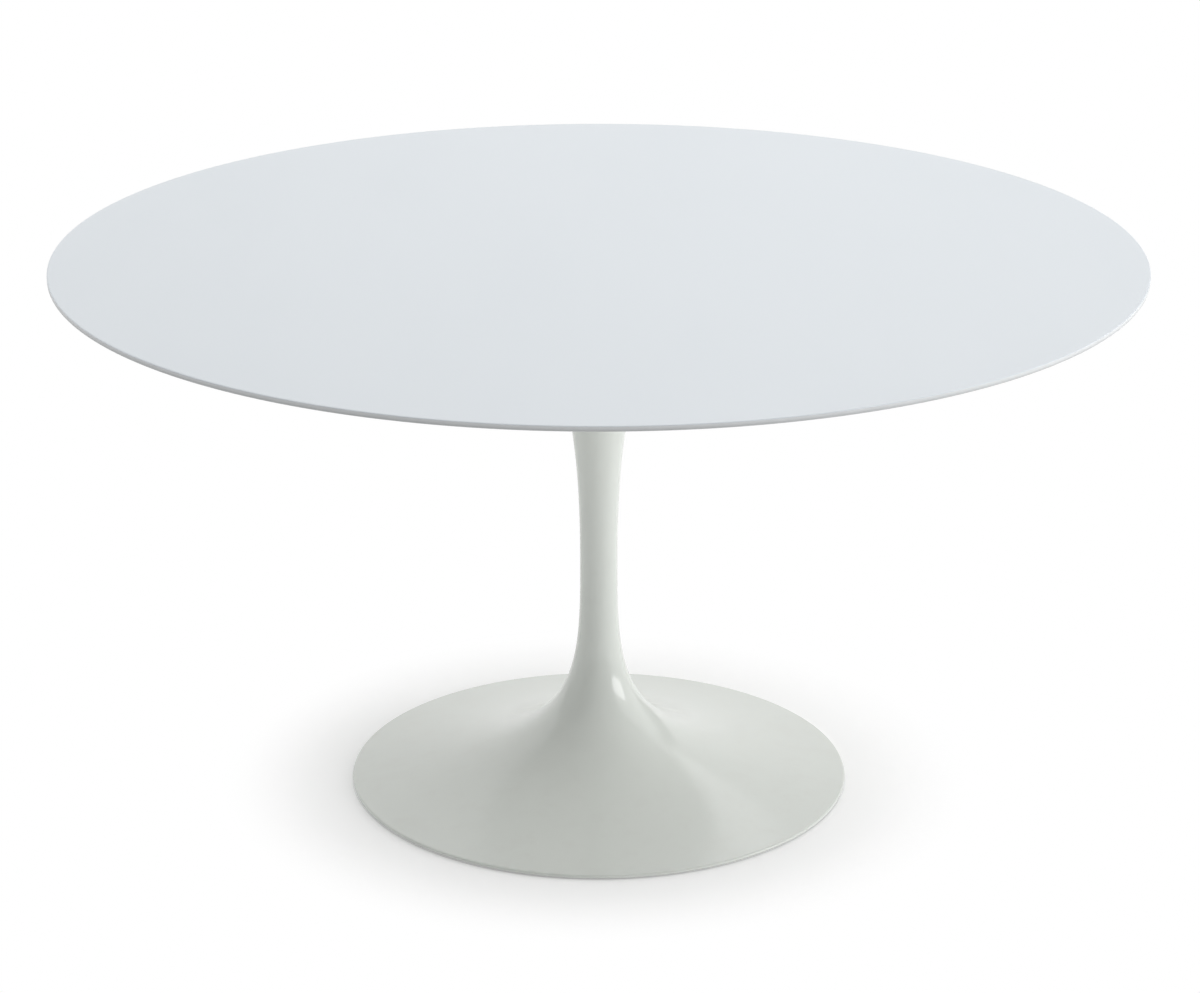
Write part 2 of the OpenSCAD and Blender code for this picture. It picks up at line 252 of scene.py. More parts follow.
class Workpiece:
    """A mesh in the making, in metres, with its place on the table already in it."""

    def __init__(self) -> None:
        """Starts with nothing."""
        self.mesh = bmesh.new()

    @classmethod
    def turned(cls, outline: Outline, closed: bool = False, steps: int = ROUND_STEPS) -> "Workpiece":
        """Turns an outline once round the table's axis.

        Args:
            outline: The section; an open one starts and ends on the axis.
            closed: Whether the section is a closed ring, clear of the axis.
            steps: How many steps go once round.

        Returns:
            The solid.
        """
        piece = cls()
        mesh = piece.mesh
        walk = [mesh.verts.new(point) for point in outline.points]
        for pair in zip(walk, walk[1:] + walk[:1] if closed else walk[1:]):
            mesh.edges.new(pair)
        for place, ease in outline.eased.items():
            bmesh.ops.bevel(mesh, geom=[walk[place]], offset=ease, offset_type="OFFSET", segments=5,
                            profile=0.5, affect="VERTICES", clamp_overlap=True, material=-1)
        for run in [edge for edge in mesh.edges if edge.calc_length() > LONG_RUN]:
            for end in [vert for vert in run.verts if vert.co.x > 0]:
                bmesh.utils.edge_split(run, end, GUARD / run.calc_length())
        bmesh.ops.spin(mesh, geom=mesh.verts[:] + mesh.edges[:], cent=(0, 0, 0), axis=(0, 0, 1),
                       dvec=(0, 0, 0), angle=math.tau, steps=steps, use_merge=True, use_duplicate=False)
        return piece.closed_up()

    @classmethod
    def prism(cls, sides: int, across: float, bottom: float, top: float) -> "Workpiece":
        """An upright prism on the table's axis.

        Args:
            sides: How many sides it has.
            across: Its width across two opposite sides.
            bottom: The height of its lower face.
            top: The height of its upper face.

        Returns:
            The solid.
        """
        piece = cls()
        mesh = piece.mesh
        made = bmesh.ops.create_circle(mesh, cap_ends=True, segments=sides,
                                       radius=across / 2 / math.cos(math.pi / sides),
                                       matrix=Matrix.Translation((0, 0, bottom)))
        faces = list({face for vert in made["verts"] for face in vert.link_faces})
        raised = bmesh.ops.extrude_face_region(mesh, geom=faces, use_keep_orig=True)
        verts = [part for part in raised["geom"] if isinstance(part, bmesh.types.BMVert)]
        bmesh.ops.translate(mesh, verts=verts, vec=(0, 0, top - bottom))
        return piece.closed_up()

    @classmethod
    def wound(cls, section: Sequence[Point], turns: float, rise: float = 0.0) -> "Workpiece":
        """Winds a closed section round the table's axis and closes both its ends.

        Args:
            section: The section's (radius, height) corners.
            turns: How far round it goes.
            rise: How far it climbs on the way.

        Returns:
            The solid.
        """
        piece = cls()
        mesh = piece.mesh
        walk = [mesh.verts.new((radius, 0, height)) for radius, height in section]
        for pair in zip(walk, walk[1:] + walk[:1]):
            mesh.edges.new(pair)
        steps = round(turns * WINDING_STEPS)
        bmesh.ops.spin(mesh, geom=mesh.verts[:] + mesh.edges[:], cent=(0, 0, 0), axis=(0, 0, 1),
                       dvec=(0, 0, rise / steps), angle=math.tau * turns, steps=steps,
                       use_merge=False, use_duplicate=False)
        ends = [edge for edge in mesh.edges if edge.is_boundary]
        bmesh.ops.holes_fill(mesh, edges=ends, sides=len(section))
        return piece.closed_up()

    @classmethod
    def thread(cls, radius: float, pitch: float, bottom: float, top: float) -> "Workpiece":
        """The helical ridge of a thread, with its root sunk below the core that it joins.

        Args:
            radius: The thread's outer radius.
            pitch: The rise of one turn.
            bottom: The height where the thread starts.
            top: The height where it ends.

        Returns:
            The ridge.
        """
        root = radius - RIDGE_DEPTH * pitch
        flank, crest = RIDGE_FLANK * pitch, RIDGE_CREST * pitch
        section = [(root, bottom), (root, bottom + 2 * flank),
                   (radius, bottom + flank + crest), (radius, bottom + flank - crest)]
        rise = top - bottom - 2 * flank
        return cls.wound(section, rise / pitch, rise)

    @classmethod
    def ring(cls, radius: float, bore: float, bottom: float, top: float, ease: float = 0.0,
             steps: int = SMALL_STEPS) -> "Workpiece":
        """A ring on the table's axis, with its outer corners eased.

        Args:
            radius: Its outer radius.
            bore: The radius of its bore, or 0 for a disc.
            bottom: The height of its lower face.
            top: The height of its upper face.
            ease: How far the outer corners are rounded.
            steps: How many steps go once round.

        Returns:
            The solid.
        """
        outline = Outline(bore, bottom).line(radius, bottom, ease)
        outline.line(radius, top, ease).line(bore, top)
        return cls.turned(outline, closed=bore > 0, steps=steps)

    def closed_up(self) -> "Workpiece":
        """Merges what coincides and turns every face outwards.

        Returns:
            The workpiece itself.
        """
        bmesh.ops.remove_doubles(self.mesh, verts=self.mesh.verts[:], dist=MERGE_GAP)
        bmesh.ops.recalc_face_normals(self.mesh, faces=self.mesh.faces[:])
        return self

    def around(self, count: int, radius: float, start: float = 0.0) -> "Workpiece":
        """Repeats the piece at even steps round the table's axis.

        Args:
            count: How many there are.
            radius: Their pitch radius.
            start: The angle of the first, in degrees from +X.

        Returns:
            The workpiece itself.
        """
        place = Matrix.Rotation(math.radians(start), 4, "Z") @ Matrix.Translation((radius, 0, 0))
        bmesh.ops.transform(self.mesh, matrix=place, verts=self.mesh.verts[:])
        everything = self.mesh.verts[:] + self.mesh.edges[:] + self.mesh.faces[:]
        bmesh.ops.spin(self.mesh, geom=everything, cent=(0, 0, 0), axis=(0, 0, 1), dvec=(0, 0, 0),
                       angle=math.tau * (count - 1) / count, steps=count - 1, use_merge=False,
                       use_duplicate=True)
        return self

    def carved(self, tool: "Workpiece", how: Carve) -> "Workpiece":
        """Cuts another workpiece out of this one, joins it on, or keeps what both hold.

        Args:
            tool: The other workpiece, which is used up.
            how: What it does.

        Returns:
            The workpiece itself.
        """
        stock = self._bench_object("stock")
        cutter = tool._bench_object("cutter")
        step = stock.modifiers.new("carve", "BOOLEAN")
        step.operation = how.value
        step.solver = "MANIFOLD"
        step.object = cutter
        self.mesh = bmesh.new()
        self.mesh.from_object(stock, bpy.context.evaluated_depsgraph_get())
        for used in (stock, cutter):
            data = used.data
            bpy.data.objects.remove(used)
            bpy.data.meshes.remove(data)
        return self

    def _bench_object(self, name: str) -> bpy.types.Object:
        """Puts the mesh into an object of its own for one operation.

        Args:
            name: The object's name.

        Returns:
            The object.
        """
        data = bpy.data.meshes.new(name)
        self.mesh.to_mesh(data)
        self.mesh.free()
        made = bpy.data.objects.new(name, data)
        bpy.context.scene.collection.objects.link(made)
        return made

    def delivered(self, name: str, node: str, finish: "Finish") -> bpy.types.Object:
        """Makes the finished piece, and puts it in the place of its node.

        Args:
            name: The piece's name.
            node: The node of the frame that it stands for.
            finish: What it is finished in.

        Returns:
            The finished piece.
        """
        data = bpy.data.meshes.new(name)
        self.mesh.to_mesh(data)
        triangles = sum(len(face.verts) - 2 for face in self.mesh.faces)
        self.mesh.free()
        data.polygons.foreach_set("use_smooth", [True] * len(data.polygons))
        data.set_sharp_from_angle(angle=SMOOTH_ANGLE)
        piece = bpy.data.objects.new(name, data)
        bpy.context.scene.collection.objects.link(piece)
        data.materials.append(finish.material())
        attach(piece, BODY)
        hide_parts(node)
        log.info("%s stands for %s: %d triangles", name, node, triangles)
        return piece


# -------------------------------------------------------------- shader maths


class Value:
    """A number that a shader works out, with the usual arithmetic."""

    def __init__(self, shader: "Shader", socket: bpy.types.NodeSocket) -> None:
        """Wraps one output socket."""
        self.shader = shader
        self.socket = socket

    def __add__(self, other: "Value | float") -> "Value":
        """Adds."""
        return self.shader.maths("ADD", self, other)

    __radd__ = __add__

    def __sub__(self, other: "Value | float") -> "Value":
        """Takes the other away."""
        return self.shader.maths("SUBTRACT", self, other)

    def __rsub__(self, other: "Value | float") -> "Value":
        """Is taken away from the other."""
        return self.shader.maths("SUBTRACT", other, self)

    def __mul__(self, other: "Value | float") -> "Value":
        """Multiplies."""
        return self.shader.maths("MULTIPLY", self, other)

    __rmul__ = __mul__

    def rising(self, low: float, high: float) -> "Value":
        """Goes smoothly from 0 at the low value to 1 at the high one."""
        made = self.shader.node("ShaderNodeMapRange", {"interpolation_type": "SMOOTHSTEP"},
                                {"Value": self, "From Min": low, "From Max": high})
        return Value(self.shader, made.outputs["Result"])


class Shader:
    """The node tree of one finish, round one Principled shader."""

    def __init__(self, name: str) -> None:
        """Starts an empty material.

        Args:
            name: The material's name.
        """
        self.material = bpy.data.materials.new(name)
        self.material.use_nodes = True
        self.tree = self.material.node_tree
        self.tree.nodes.clear()
        self.place = self.node("ShaderNodeTexCoord").outputs["Object"]

    def node(self, kind: str, settings: dict[str, Any] | None = None,
             inputs: dict[str | int, Any] | None = None) -> bpy.types.Node:
        """Adds one node.

        Args:
            kind: The node's type.
            settings: Its properties.
            inputs: Its sockets, by name or number, each with a constant, a Value or a socket.

        Returns:
            The node.
        """
        made = self.tree.nodes.new(kind)
        for key, setting in (settings or {}).items():
            setattr(made, key, setting)
        for key, given in (inputs or {}).items():
            if isinstance(given, Value):
                given = given.socket
            if isinstance(given, bpy.types.NodeSocket):
                self.tree.links.new(given, made.inputs[key])
            else:
                made.inputs[key].default_value = given
        return made

    def maths(self, operation: str, *terms: "Value | float") -> Value:
        """Adds one Math node for an expression."""
        made = self.node("ShaderNodeMath", {"operation": operation}, dict(enumerate(terms)))
        return Value(self, made.outputs[0])

    def stretched(self, scale: Sequence[float]) -> bpy.types.NodeSocket:
        """Object coordinates, scaled along each axis."""
        made = self.node("ShaderNodeMapping", {"vector_type": "POINT"},
                         {"Vector": self.place, "Scale": tuple(scale)})
        return made.outputs["Vector"]

    def noise(self, size: float, detail: float = 2.0, roughness: float = 0.5,
              scale: Sequence[float] = (1.0, 1.0, 1.0)) -> Value:
        """Cloudy variation about 0.5.

        Args:
            size: The width of one cloud, in metres.
            detail: How many finer layers it has.
            roughness: How strong the finer layers are.
            scale: How the pattern is squeezed along each axis.

        Returns:
            The variation.
        """
        made = self.node("ShaderNodeTexNoise", {"noise_dimensions": "3D"},
                         {"Vector": self.stretched(scale), "Scale": 1 / size, "Detail": detail,
                          "Roughness": roughness})
        return Value(self, made.outputs[0])

    def height(self) -> Value:
        """The height of the shaded point above the floor."""
        parts = self.node("ShaderNodeSeparateXYZ", None, {"Vector": self.place})
        return Value(self, parts.outputs["Z"])

    def reach(self) -> Value:
        """The distance of the shaded point from the middle of the floor."""
        made = self.node("ShaderNodeVectorMath", {"operation": "LENGTH"}, {"Vector": self.place})
        return Value(self, made.outputs["Value"])

    def mixed(self, share: Value, start: "Colour | bpy.types.NodeSocket",
              end: "Colour | bpy.types.NodeSocket") -> bpy.types.NodeSocket:
        """Goes from one colour to another.

        Args:
            share: 0 at the first colour and 1 at the second.
            start: The first colour, or a socket that gives it.
            end: The second colour, or a socket that gives it.

        Returns:
            The colour.
        """
        made = self.node("ShaderNodeMix", {"data_type": "RGBA", "clamp_factor": True}, {"Factor": share})
        for name, given in (("A", start), ("B", end)):
            socket = next(port for port in made.inputs if port.name == name and port.type == "RGBA")
            if isinstance(given, bpy.types.NodeSocket):
                self.tree.links.new(given, socket)
            else:
                socket.default_value = (*given, 1.0)
        return next(port for port in made.outputs if port.type == "RGBA")

    def bumped(self, height: Value, distance: float, strength: float = 1.0,
               under: bpy.types.NodeSocket | None = None) -> bpy.types.NodeSocket:
        """Raises the surface by a height from 0 to 1.

        Args:
            height: The height.
            distance: What 1 stands for, in metres.
            strength: How much of it is felt.
            under: A normal that this one lies over.

        Returns:
            The normal.
        """
        inputs: dict[str | int, Any] = {"Height": height, "Distance": distance, "Strength": strength}
        if under is not None:
            inputs["Normal"] = under
        return self.node("ShaderNodeBump", None, inputs).outputs["Normal"]

    def surface(self, **sockets: Any) -> bpy.types.Material:
        """Ends the tree with its Principled shader.

        Args:
            sockets: The shader's sockets, with underscores for spaces.

        Returns:
            The material.
        """
        named = {key.replace("_", " "): given for key, given in sockets.items()}
        for key in ("Base Color", "Emission Color"):
            if isinstance(named.get(key), tuple):
                named[key] = (*named[key], 1.0)
        shader = self.node("ShaderNodeBsdfPrincipled", None, named)
        self.node("ShaderNodeOutputMaterial", None, {"Surface": shader.outputs["BSDF"]})
        return self.material


# ------------------------------------------------------------------ finishes


@dataclass(frozen=True)
class Finish:
    """A finish, whose material is made once and shared by every piece that has it."""

    name: str
    colour: Colour

    def material(self) -> bpy.types.Material:
        """The finish's material."""
        return bpy.data.materials.get(self.name) or self.mixed_up(Shader(self.name))

    def mixed_up(self, shader: Shader) -> bpy.types.Material:
        """Builds the material; each kind of finish has its own recipe.

        Args:
            shader: The empty tree of the finish.
        """
        raise NotImplementedError

    def shade(self, factor: float) -> Colour:
        """The finish's colour, lighter or darker by a factor."""
        return tuple(min(1.0, part * factor) for part in self.colour)


@dataclass(frozen=True)
class SatinLaminate(Finish):
    """High-pressure laminate: a fine suede grain under the faintest wipe marks."""

    roughness: float = 0.34
    grain: float = 0.9 * MM
    grain_depth: float = 0.012 * MM

    def mixed_up(self, shader: Shader) -> bpy.types.Material:
        """Builds the material.

        Args:
            shader: The empty tree of the finish.

        Returns:
            The material.
        """
        drift = shader.noise(420 * MM, 2.0)
        wipes = shader.noise(95 * MM, 4.0, 0.55, (1.0, 0.22, 1.0)).rising(0.4, 0.72)
        grain = shader.noise(self.grain, 3.0, 0.6)
        return shader.surface(
            Base_Color=shader.mixed(drift, self.shade(0.985), self.shade(1.01)),
            Roughness=self.roughness + 0.035 * wipes + 0.03 * grain,
            IOR=1.5,
            Normal=shader.bumped(grain, self.grain_depth, 0.6),
        )


@dataclass(frozen=True)
class EdgeLacquer(Finish):
    """Sprayed lacquer on fibreboard: a soft orange peel, with painted shade that darkens it from the
    arris height down, over the lower edge and the bevel.
    """

    roughness: float = 0.3
    arris: float = 0.0
    arris_reach: float = 5 * MM
    # Painted shade: how dark the colour is painted on the lower edge and the bevel
    painted_shade: float = 0.68

    def mixed_up(self, shader: Shader) -> bpy.types.Material:
        """Builds the material.

        Args:
            shader: The empty tree of the finish.

        Returns:
            The material.
        """
        drift = shader.noise(130 * MM, 2.0)
        peel = shader.noise(3.2 * MM, 2.0, 0.4)
        fibre = shader.noise(0.7 * MM, 3.0, 0.6, (1.0, 1.0, 2.5))
        peeled = shader.bumped(peel, 0.03 * MM, 0.5)
        clean = shader.mixed(drift, self.shade(0.98), self.shade(1.01))
        # Painted shade: from the arris height down, the colour darkens over the lower edge and the bevel
        # underneath
        lower = 1 - shader.height().rising(self.arris, self.arris + self.arris_reach)
        return shader.surface(
            Base_Color=shader.mixed(lower, clean, self.shade(self.painted_shade)),
            Roughness=self.roughness + 0.05 * fibre,
            IOR=1.5,
            Normal=shader.bumped(fibre, 0.008 * MM, 0.5, peeled),
        )


@dataclass(frozen=True)
class GlossCoat(Finish):
    """A thick gloss coating on a casting, whose inside is left bare and sandy."""

    bare_colour: Colour = (0.46, 0.46, 0.45)
    roughness: float = 0.12
    root_height: float = 0.11

    def mixed_up(self, shader: Shader) -> bpy.types.Material:
        """Builds the material.

        Args:
            shader: The empty tree of the finish.

        Returns:
            The material.
        """
        marked = shader.node("ShaderNodeAttribute", {"attribute_name": BARE_MARK})
        bare = Value(shader, marked.outputs["Fac"])
        drift = shader.noise(160 * MM, 2.0)
        sand = shader.noise(1.4 * MM, 4.0, 0.65)
        peel = shader.noise(4.5 * MM, 2.0, 0.4)
        specks = shader.noise(30 * MM, 4.0, 0.6).rising(0.45, 0.75)
        dust = (1 - shader.height().rising(0.0, self.root_height)) * specks
        coat = shader.mixed(drift, self.shade(0.985), self.shade(1.01))
        dusty = shader.mixed(0.1 * dust, coat, (0.62, 0.6, 0.56))
        cast = shader.mixed(sand, tuple(0.75 * part for part in self.bare_colour), self.bare_colour)
        peeled = shader.bumped(peel * (1 - bare), 0.035 * MM, 0.45)
        return shader.surface(
            Base_Color=shader.mixed(bare, dusty, cast),
            Roughness=self.roughness + 0.12 * dust + 0.42 * bare,
            Metallic=0.8 * bare,
            IOR=1.5,
            Normal=shader.bumped(sand * bare, 0.25 * MM, 0.7, peeled),
        )


class Grain(Enum):
    """How a bare metal surface was made: the squeeze of its marks along each axis."""

    TURNED = (0.35, 0.35, 14.0)
    PLAIN = (1.0, 1.0, 1.0)


@dataclass(frozen=True)
class BareMetal(Finish):
    """Plated, plain or brass metal with tool marks and a little tarnish."""

    roughness: float = 0.3
    grain: Grain = Grain.PLAIN
    tarnish: Colour = (0.3, 0.28, 0.25)

    def mixed_up(self, shader: Shader) -> bpy.types.Material:
        """Builds the material.

        Args:
            shader: The empty tree of the finish.

        Returns:
            The material.
        """
        marks = shader.noise(2.0 * MM, 3.0, 0.6, self.grain.value)
        stain = shader.noise(9 * MM, 4.0, 0.6).rising(0.5, 0.78)
        return shader.surface(
            Base_Color=shader.mixed(0.35 * stain, self.colour, self.tarnish),
            Metallic=1.0,
            Roughness=self.roughness + 0.12 * marks + 0.15 * stain,
            Normal=shader.bumped(marks, 0.01 * MM, 0.5),
        )


@dataclass(frozen=True)
class RoughIron(Finish):
    """Primed cast iron, straight from its sand mould."""

    def mixed_up(self, shader: Shader) -> bpy.types.Material:
        """Builds the material.

        Args:
            shader: The empty tree of the finish.

        Returns:
            The material.
        """
        sand = shader.noise(1.8 * MM, 5.0, 0.7)
        lumps = shader.noise(14 * MM, 3.0, 0.5)
        rust = shader.noise(26 * MM, 5.0, 0.65).rising(0.58, 0.74)
        lumpy = shader.bumped(lumps, 0.8 * MM, 0.6)
        return shader.surface(
            Base_Color=shader.mixed(0.5 * rust, self.colour, (0.16, 0.07, 0.03)),
            Roughness=0.6 + 0.25 * sand,
            IOR=1.5,
            Normal=shader.bumped(sand, 0.3 * MM, 0.8, lumpy),
        )


@dataclass(frozen=True)
class PowderCoat(Finish):
    """Baked powder on sheet steel: an even, slightly leathery skin."""

    roughness: float = 0.42
    peel_size: float = 1.6 * MM
    scuff: Colour = (0.5, 0.5, 0.5)

    def mixed_up(self, shader: Shader) -> bpy.types.Material:
        """Builds the material.

        Args:
            shader: The empty tree of the finish.

        Returns:
            The material.
        """
        peel = shader.noise(self.peel_size, 2.0, 0.45)
        drift = shader.noise(70 * MM, 3.0)
        scuffs = shader.noise(24 * MM, 6.0, 0.7, (0.3, 1.6, 1.0)).rising(0.66, 0.8)
        paint = shader.mixed(drift, self.shade(0.96), self.shade(1.03))
        return shader.surface(
            Base_Color=shader.mixed(0.25 * scuffs, paint, self.scuff),
            Roughness=self.roughness + 0.08 * drift + 0.1 * scuffs,
            IOR=1.5,
            Normal=shader.bumped(peel, 0.05 * MM, 0.6),
        )


@dataclass(frozen=True)
class Moulded(Finish):
    """Moulded rubber or plastic with the mould's fine texture."""

    roughness: float = 0.5
    texture: float = 0.5 * MM
    sheen: float = 0.0

    def mixed_up(self, shader: Shader) -> bpy.types.Material:
        """Builds the material.

        Args:
            shader: The empty tree of the finish.

        Returns:
            The material.
        """
        texture = shader.noise(self.texture, 3.0, 0.55)
        bloom = shader.noise(12 * MM, 4.0, 0.6).rising(0.45, 0.8)
        return shader.surface(
            Base_Color=shader.mixed(0.3 * bloom, self.colour, self.shade(1.7)),
            Roughness=self.roughness + 0.1 * texture,
            IOR=1.5,
            Sheen_Weight=self.sheen,
            Normal=shader.bumped(texture, 0.04 * MM, 0.7),
        )


@dataclass(frozen=True)
class BackingSheet(Finish):
    """Matt balancing laminate with faint sanding lines."""

    def mixed_up(self, shader: Shader) -> bpy.types.Material:
        """Builds the material.

        Args:
            shader: The empty tree of the finish.

        Returns:
            The material.
        """
        lines = shader.noise(1.6 * MM, 3.0, 0.6, (0.04, 1.0, 1.0))
        drift = shader.noise(240 * MM, 3.0)
        return shader.surface(
            Base_Color=shader.mixed(drift, self.shade(0.97), self.shade(1.01)),
            Roughness=0.55 + 0.08 * lines,
            IOR=1.5,
            Normal=shader.bumped(lines, 0.02 * MM, 0.4),
        )


LAMINATE = SatinLaminate("satin_laminate", (0.79, 0.838, 0.878))
# The edge lacquer is an off-white of its own, and is also toned darker than the laminate as painted
# shade on the edge
LACQUER = EdgeLacquer("edge_lacquer", (0.74, 0.76, 0.77), arris=Extent.of("top_core").top - 5.5 * MM)
COAT = GlossCoat("gloss_coat", (0.77, 0.8, 0.76))
BACKING = BackingSheet("backing_sheet", (0.74, 0.74, 0.72))
PLATE_PAINT = PowderCoat("plate_paint", (0.76, 0.77, 0.75), scuff=(0.6, 0.6, 0.6))
COVER_PAINT = PowderCoat("cover_paint", (0.035, 0.035, 0.038), scuff=(0.12, 0.12, 0.12))
ZINC = BareMetal("zinc_plate", (0.62, 0.64, 0.66), 0.28)
TURNED_STEEL = BareMetal("turned_steel", (0.42, 0.42, 0.43), 0.32, Grain.TURNED)
BRASS = BareMetal("insert_brass", (0.72, 0.55, 0.27), 0.3, Grain.TURNED, (0.3, 0.2, 0.08))
IRON = RoughIron("rough_iron", (0.025, 0.025, 0.027))
RUBBER = Moulded("gasket_rubber", (0.02, 0.02, 0.02), 0.6, sheen=0.1)
CAP_PLASTIC = Moulded("cap_plastic", (0.012, 0.012, 0.012), 0.42)
NYLON = Moulded("glide_nylon", (0.018, 0.018, 0.018), 0.38, 0.9 * MM)


# ------------------------------------------------------------- sub-assemblies


@dataclass(frozen=True)
class Thread:
    """A metric thread, with its heads and washers in the standard's proportions to it."""

    diameter: float
    pitch: float

    @property
    def radius(self) -> float:
        """The outer radius."""
        return self.diameter / 2

    @property
    def core(self) -> float:
        """The radius at the root."""
        return self.radius - ROOT_DEPTH * self.pitch

    def shank(self, seat: float, end: float) -> Workpiece:
        """A fully threaded shank that points up, with a chamfered end.

        Args:
            seat: The height where it leaves its head.
            end: The height of its end.

        Returns:
            The shank, whose foot is sunk a little into the head.
        """
        chamfer = END_CHAMFER * self.pitch
        sink = HEAD_SINK * self.diameter
        outline = Outline(0, seat - sink).line(self.core, seat - sink).line(self.core, end - chamfer)
        outline.line(self.core - chamfer, end).line(0, end)
        ridge = Workpiece.thread(self.radius, self.pitch, seat + RUN_OUT * self.pitch, end - chamfer)
        return Workpiece.turned(outline, steps=SMALL_STEPS).carved(ridge, Carve.JOIN)

    def washer(self, bottom: float, top: float) -> Workpiece:
        """A flat washer between two heights."""
        return Workpiece.ring(self.diameter, 1.05 * self.radius, bottom, top, 0.15 * (top - bottom))

    def button_screw(self, seat: float, end: float) -> Workpiece:
        """A button-head socket screw that points up.

        Args:
            seat: The height that its head bears on.
            end: The height of its end.

        Returns:
            The screw.
        """
        reach, height = BUTTON_REACH * self.diameter, BUTTON_HEIGHT * self.diameter
        dome = (height ** 2 + reach ** 2) / (2 * height)
        turn = math.degrees(math.asin(reach / dome))
        head = Outline(0, seat - height).arc((0, seat - height + dome), dome, -90, turn - 90, 14)
        head.line(0, seat)
        pocket = Workpiece.prism(6, BUTTON_SOCKET * self.diameter, seat - height - MM,
                                 seat - SOCKET_FLOOR * height)
        blank = Workpiece.turned(head, steps=SMALL_STEPS).carved(pocket, Carve.CUT)
        return blank.carved(self.shank(seat, end), Carve.JOIN)

    def hexagon(self, across: float, bottom: float, top: float, both_ends: bool) -> Workpiece:
        """A hexagon whose corners are turned down to a round face.

        Args:
            across: Its width across the flats.
            bottom: The height of its lower face.
            top: The height of its upper face.
            both_ends: Whether the upper corners are turned down too.

        Returns:
            The hexagon.
        """
        corner = across / 2 / math.cos(math.pi / 6)
        face = HEXAGON_FACE * across
        drop = (corner - face) * math.tan(math.radians(30))
        wide = corner + 0.1 * MM
        form = Outline(0, bottom).line(face, bottom).line(wide, bottom + drop)
        if both_ends:
            form.line(wide, top - drop).line(face, top)
        else:
            form.line(wide, top)
        form.line(0, top)
        blank = Workpiece.prism(6, across, bottom - MM, top + MM)
        return blank.carved(Workpiece.turned(form, steps=SMALL_STEPS), Carve.KEEP)

    def bolt(self, seat: float, end: float) -> Workpiece:
        """A hexagon-head bolt that points up.

        Args:
            seat: The height that its head bears on.
            end: The height of its end.

        Returns:
            The bolt.
        """
        across, height = HEXAGON_ACROSS * self.diameter, HEXAGON_HEIGHT * self.diameter
        head = self.hexagon(across, seat - height, seat, False)
        return head.carved(self.shank(seat, end), Carve.JOIN)

    def nut(self, across: float, bottom: float, top: float) -> Workpiece:
        """A hexagon nut, whose bore clears the thread and is countersunk at both faces.

        Args:
            across: Its width across the flats.
            bottom: The height of its lower face.
            top: The height of its upper face.

        Returns:
            The nut.
        """
        bore, mouth = self.radius + 0.05 * MM, self.radius + 0.6 * MM
        ream = Outline(0, bottom - MM).line(mouth + MM, bottom - MM).line(mouth, bottom).line(
            bore, bottom + 0.6 * MM).line(bore, top - 0.6 * MM).line(mouth, top).line(
            mouth + MM, top + MM).line(0, top + MM)
        blank = self.hexagon(across, bottom, top, True)
        return blank.carved(Workpiece.turned(ream, steps=SMALL_STEPS), Carve.CUT)


PLATE_THREAD = Thread(8 * MM, 1.25 * MM)
ROD_THREAD = Thread(16 * MM, 2 * MM)
BALLAST_THREAD = Thread(8 * MM, 1.25 * MM)
COVER_THREAD = Thread(4 * MM, 0.7 * MM)


@dataclass(frozen=True)
class Circle:
    """A circle of holes or fasteners about the table's axis."""

    count: int
    radius: float
    start: float = 0.0

    def drilled(self, work: Workpiece, radius: float, bottom: float, top: float) -> Workpiece:
        """Drills the circle's holes in a workpiece.

        Args:
            work: What is drilled.
            radius: The radius of the holes.
            bottom: The height where they start.
            top: The height where they end.

        Returns:
            The workpiece.
        """
        drill = Workpiece.ring(radius, 0, bottom, top)
        return work.carved(self.placed(drill), Carve.CUT)

    def placed(self, work: Workpiece) -> Workpiece:
        """Repeats a workpiece on the circle."""
        return work.around(self.count, self.radius, self.start)


